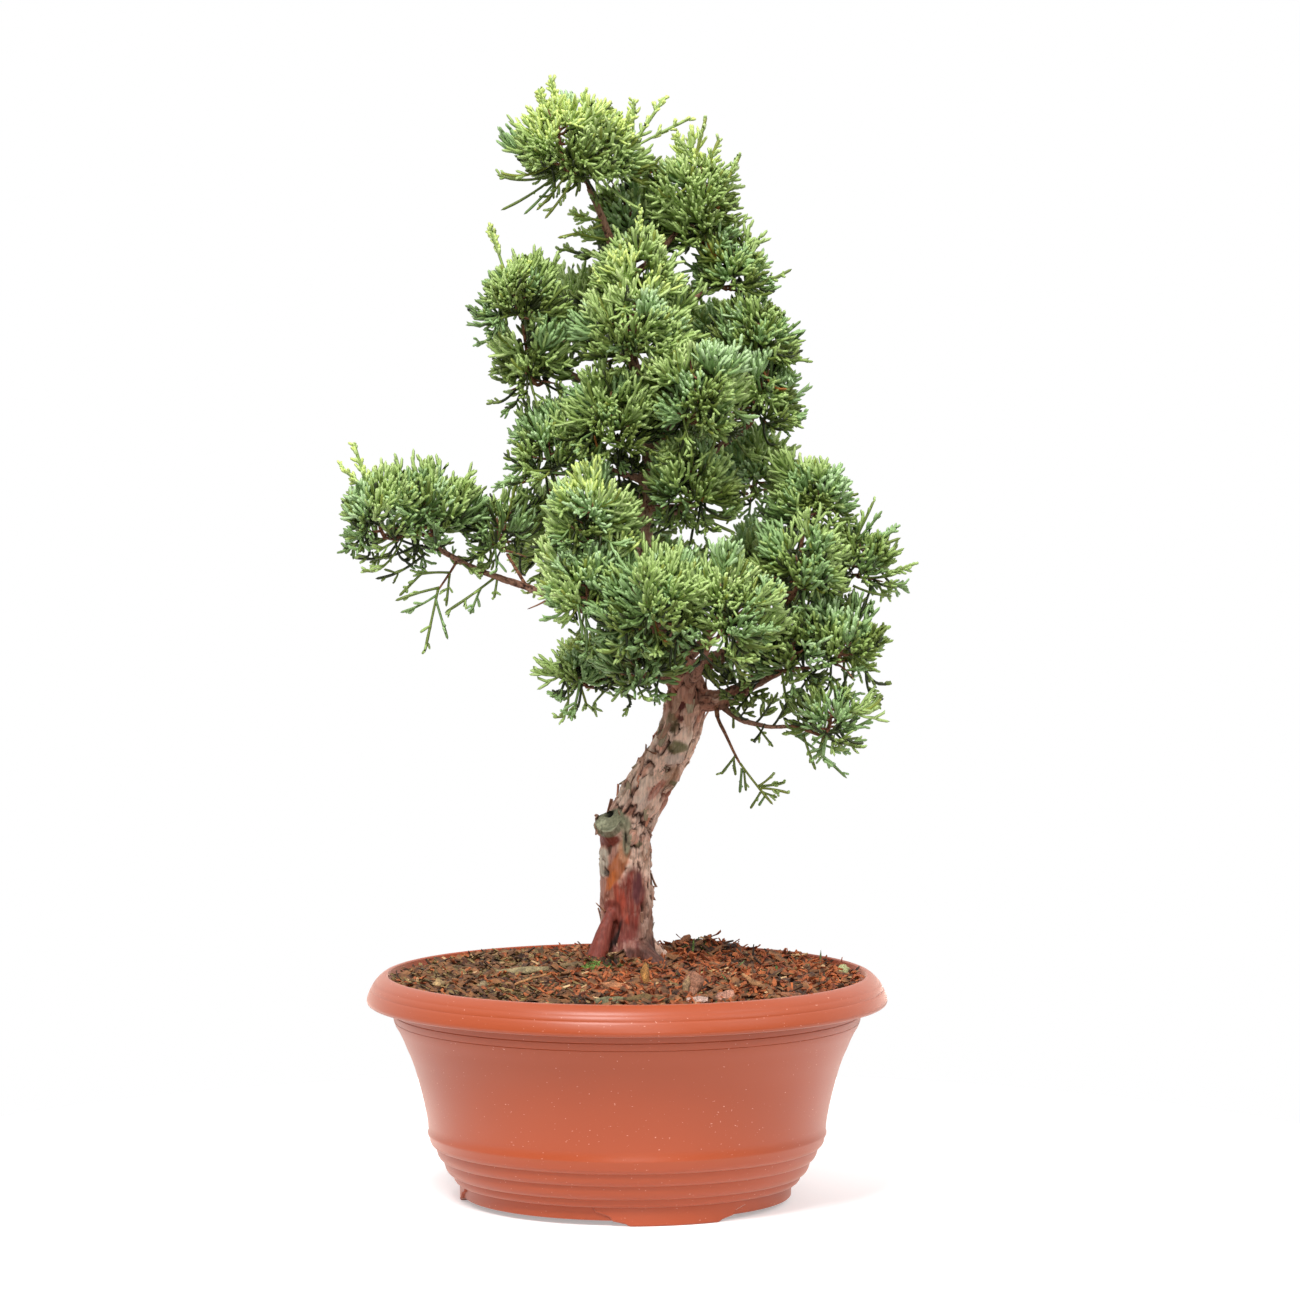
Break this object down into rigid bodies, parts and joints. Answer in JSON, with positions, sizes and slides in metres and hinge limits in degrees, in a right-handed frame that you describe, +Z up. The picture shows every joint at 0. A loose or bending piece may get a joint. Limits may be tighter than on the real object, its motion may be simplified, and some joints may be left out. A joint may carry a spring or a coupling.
{
  "type": "juniper bonsai in a pot",
  "caption": "Young conifer bonsai with a bent trunk, open boughs and masses of scale-leaf foliage, growing in a round plastic bowl on low feet.",
  "frame": {"origin": "middle of the pot's foot ring, on the surface that it stands on", "axes": "+Z up along the pot's axis, the picture looks along +Y, +X to its right"},
  "size_m": [0.2769, 0.25, 0.5377],
  "materials": {
    "pot_plastic": "satin, moulded, terracotta colour",
    "bark_mulch": "loose bark mulch and peat",
    "trunk_bark": "rough flaking bark",
    "bough_bark": "thin reddish bark",
    "foliage": "scale leaves, green with a slight bloom"
  },
  "bodies": {
    "root": {"pot": "pot_plastic", "soil": "bark_mulch", "trunk": "trunk_bark", "bough_left": "bough_bark", "bough_front_left": "bough_bark", "bough_front_centre": "bough_bark", "bough_front_right": "bough_bark", "bough_low_left": "bough_bark", "bough_right_upper": "bough_bark", "bough_right_lower": "bough_bark", "bough_mid_left": "bough_bark", "bough_mid_right": "bough_bark", "bough_upper_left": "bough_bark", "bough_right_shoulder": "bough_bark", "bough_centre_right": "bough_bark", "bough_upper_right": "bough_bark", "bough_apex_right": "bough_bark", "bough_back_low": "bough_bark", "bough_back_low_right": "bough_bark", "bough_back_low_left": "bough_bark", "bough_back_middle": "bough_bark", "bough_back_upper": "bough_bark", "bough_lower_right": "bough_bark", "foliage_apex_left": "foliage", "foliage_apex_right": "foliage", "foliage_upper_left": "foliage", "foliage_upper_centre": "foliage", "foliage_centre_right": "foliage", "foliage_centre_left": "foliage", "foliage_upper_right": "foliage", "foliage_right_shoulder": "foliage", "foliage_mid_left": "foliage", "foliage_mid_centre": "foliage", "foliage_mid_right": "foliage", "foliage_left_tip": "foliage", "foliage_left_inner": "foliage", "foliage_left_hanging": "foliage", "foliage_front_left": "foliage", "foliage_front_centre": "foliage", "foliage_front_low": "foliage", "foliage_front_right": "foliage", "foliage_low_left": "foliage", "foliage_right_upper": "foliage", "foliage_right_lower": "foliage", "foliage_lower_right": "foliage", "foliage_hanging_twig": "foliage", "foliage_back_low": "foliage", "foliage_back_low_right": "foliage", "foliage_back_low_left": "foliage", "foliage_back_middle": "foliage", "foliage_back_upper": "foliage", "foliage_back_high": "foliage", "foliage_back_top": "foliage"}
  },
  "joints": []
}
